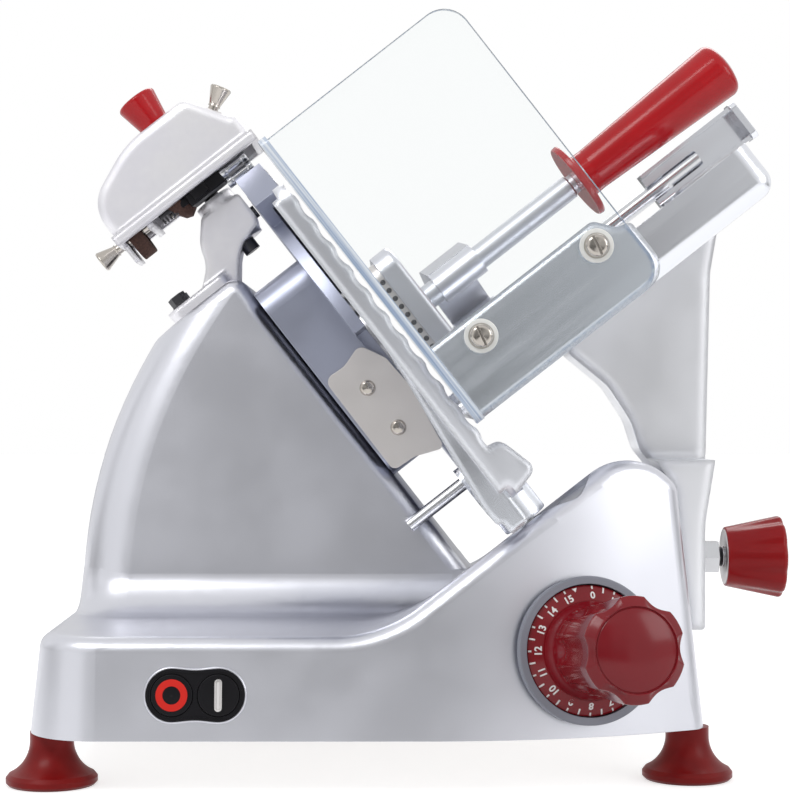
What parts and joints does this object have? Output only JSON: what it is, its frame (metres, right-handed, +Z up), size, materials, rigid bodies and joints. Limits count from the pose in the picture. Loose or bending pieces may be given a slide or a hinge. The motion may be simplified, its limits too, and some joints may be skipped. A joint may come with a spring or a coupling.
{
  "type": "meat slicer",
  "caption": "Electric gravity-feed slicer: round blade on a leaning head, thickness dial and gauge plate, sliding food tray with pusher and clear guard, and a flip-over blade sharpener.",
  "frame": {"origin": "on the table top, under the middle of the whole machine's bounding box", "axes": "+Z up, +X to the operator's right, +Y away from the operator, along the carriage's travel"},
  "size_m": [0.4213, 0.4619, 0.3919],
  "materials": {
    "satin_aluminium": "satin",
    "polished_aluminium": "polished",
    "stainless_blade": "ground and polished",
    "stainless_sheet": "polished",
    "bright_screws": "bright",
    "dark_steel": "blackened",
    "steel_bar": "ground",
    "red_plastic": "gloss",
    "dark_red_plastic": "gloss",
    "red_rubber": "semi-gloss",
    "grey_plastic": "matt",
    "black_plastic": "matt",
    "black_rubber": "matt",
    "clear_acrylic": "clear",
    "white_nylon": "matt",
    "grey_paint": "satin",
    "brown_stone": "rough, bonded abrasive"
  },
  "bodies": {
    "housing": {"base_housing": "satin_aluminium", "foot_front_left": "red_rubber", "foot_front_right": "red_rubber", "foot_back_left": "red_rubber", "foot_back_right": "red_rubber", "base_screws": "steel_bar", "bottom_cover": "stainless_sheet", "cable_gland": "black_rubber", "switch_panel": "black_plastic", "switch_block": "black_plastic", "dial_bezel": "grey_plastic", "blade_head": "polished_aluminium", "blade_bearings": "steel_bar", "drive_belt": "black_rubber", "motor": "grey_paint", "motor_bracket": "steel_bar", "slice_deflector": "stainless_sheet", "deflector_screws": "bright_screws", "gauge_slide_bar": "steel_bar", "gauge_guide_pin": "steel_bar", "carriage_guide_bar": "steel_bar", "sharpener_bracket": "satin_aluminium", "sharpener_screws": "dark_steel"},
    "blade_group": {"blade": "stainless_blade", "blade_shaft": "steel_bar", "blade_screws": "bright_screws", "blade_pulley": "satin_aluminium"},
    "motor_rotor": {"motor_pulley": "steel_bar"},
    "gauge": {"gauge_plate": "polished_aluminium", "gauge_support": "satin_aluminium", "gauge_nub": "white_nylon"},
    "dial": {"dial_disc": "dark_red_plastic", "dial_knob": "dark_red_plastic", "dial_shaft": "steel_bar"},
    "stop": {"stop_button": "black_plastic"},
    "start": {"start_button": "black_plastic"},
    "carriage": {"carriage_shuttle": "satin_aluminium", "carriage_arm": "satin_aluminium", "food_tray": "polished_aluminium", "tray_front_wall": "satin_aluminium", "hand_guard": "clear_acrylic", "guard_washers": "white_nylon", "guard_screws": "bright_screws", "pusher_guide_bar": "steel_bar", "guide_bar_bracket": "polished_aluminium"},
    "carriage_lock": {"lock_stud": "dark_steel", "lock_knob": "red_plastic"},
    "pusher_bush": {"pusher_sleeve": "white_nylon"},
    "pusher": {"pusher_arm": "satin_aluminium", "pusher_rod": "satin_aluminium", "pusher_handle": "red_plastic", "press_plate": "satin_aluminium", "spike_plate": "stainless_sheet"},
    "sharpener_lift": {"sharpener_post": "dark_steel"},
    "sharpener": {"sharpener_cover": "satin_aluminium"},
    "sharpener_clamp": {"sharpener_knob": "red_plastic"},
    "deburring_press": {"deburring_button": "bright_screws"},
    "deburring_wheel": {"deburring_stone": "brown_stone"},
    "grinding_press": {"grinding_button": "bright_screws"},
    "grinding_wheel": {"grinding_stone": "brown_stone"}
  },
  "joints": [
    {"name": "blade_spin", "type": "hinge", "parent": "housing", "child": "blade_group", "pos_m": [-0.0116, 0.032, 0.2372], "axis": [0.788, 0, 0.6157], "continuous": true},
    {"name": "motor_spin", "type": "hinge", "parent": "housing", "child": "motor_rotor", "pos_m": [-0.01721, 0.032, 0.11607], "axis": [0.788, 0, 0.6157], "continuous": true},
    {"name": "gauge_opening", "type": "slide", "parent": "housing", "child": "gauge", "axis": [-0.788, 0, -0.6157], "range_m": [0, 0.015]},
    {"name": "dial_turn", "type": "hinge", "parent": "housing", "child": "dial", "pos_m": [0.0875, -0.158, 0.0715], "axis": [0.2401, -0.9631, 0.1219], "range_deg": [0, 333]},
    {"name": "stop_press", "type": "slide", "parent": "housing", "child": "stop", "axis": [0, 0.9945, -0.1045], "range_m": [0, 0.0012], "stiffness_N_per_m": 300, "springref_m": -0.002},
    {"name": "start_press", "type": "slide", "parent": "housing", "child": "start", "axis": [0, 0.9945, -0.1045], "range_m": [0, 0.0012], "stiffness_N_per_m": 300, "springref_m": -0.002},
    {"name": "carriage_travel", "type": "slide", "parent": "housing", "child": "carriage", "axis": [0, 1, 0], "range_m": [0, 0.225]},
    {"name": "carriage_lock_turn", "type": "hinge", "parent": "carriage", "child": "carriage_lock", "pos_m": [0.1163, -0.043, 0.11], "axis": [1, 0, 0], "range_deg": [0, 360]},
    {"name": "pusher_travel", "type": "slide", "parent": "carriage", "child": "pusher_bush", "axis": [0.788, 0, 0.6157], "range_m": [0, 0.11]},
    {"name": "pusher_swing", "type": "hinge", "parent": "pusher_bush", "child": "pusher", "pos_m": [0.04329, 0.054, 0.24328], "axis": [-0.788, 0, -0.6157], "range_deg": [0, 110]},
    {"name": "sharpener_raise", "type": "slide", "parent": "housing", "child": "sharpener_lift", "axis": [-0.6157, 0, 0.788], "range_m": [0, 0.018]},
    {"name": "sharpener_turn", "type": "hinge", "parent": "sharpener_lift", "child": "sharpener", "pos_m": [-0.13153, 0.032, 0.33385], "axis": [-0.6157, 0, 0.788], "range_deg": [0, 180]},
    {"name": "sharpener_clamp_turn", "type": "hinge", "parent": "sharpener_lift", "child": "sharpener_clamp", "pos_m": [-0.15616, 0.032, 0.36537], "axis": [-0.6157, 0, 0.788], "range_deg": [0, 360]},
    {"name": "deburring_button_press", "type": "slide", "parent": "sharpener", "child": "deburring_press", "axis": [0.788, 0, 0.6157], "range_m": [0, 0.0025], "stiffness_N_per_m": 300, "springref_m": -0.002},
    {"name": "deburring_spin", "type": "hinge", "parent": "deburring_press", "child": "deburring_wheel", "pos_m": [-0.1657, 0.032, 0.29637], "axis": [0.788, 0, 0.6157], "continuous": true},
    {"name": "grinding_button_press", "type": "slide", "parent": "sharpener", "child": "grinding_press", "axis": [-0.3583, 0, -0.9336], "range_m": [0, 0.0025], "stiffness_N_per_m": 300, "springref_m": -0.002},
    {"name": "grinding_spin", "type": "hinge", "parent": "grinding_press", "child": "grinding_wheel", "pos_m": [-0.14039, 0.019, 0.31284], "axis": [0.3583, 0, 0.9336], "continuous": true}
  ],
  "couplings": [
    {"joint": "motor_spin", "follows": "blade_spin", "ratio": 3},
    {"joint": "dial_turn", "follows": "gauge_opening", "rad_per_m": 387.4}
  ]
}
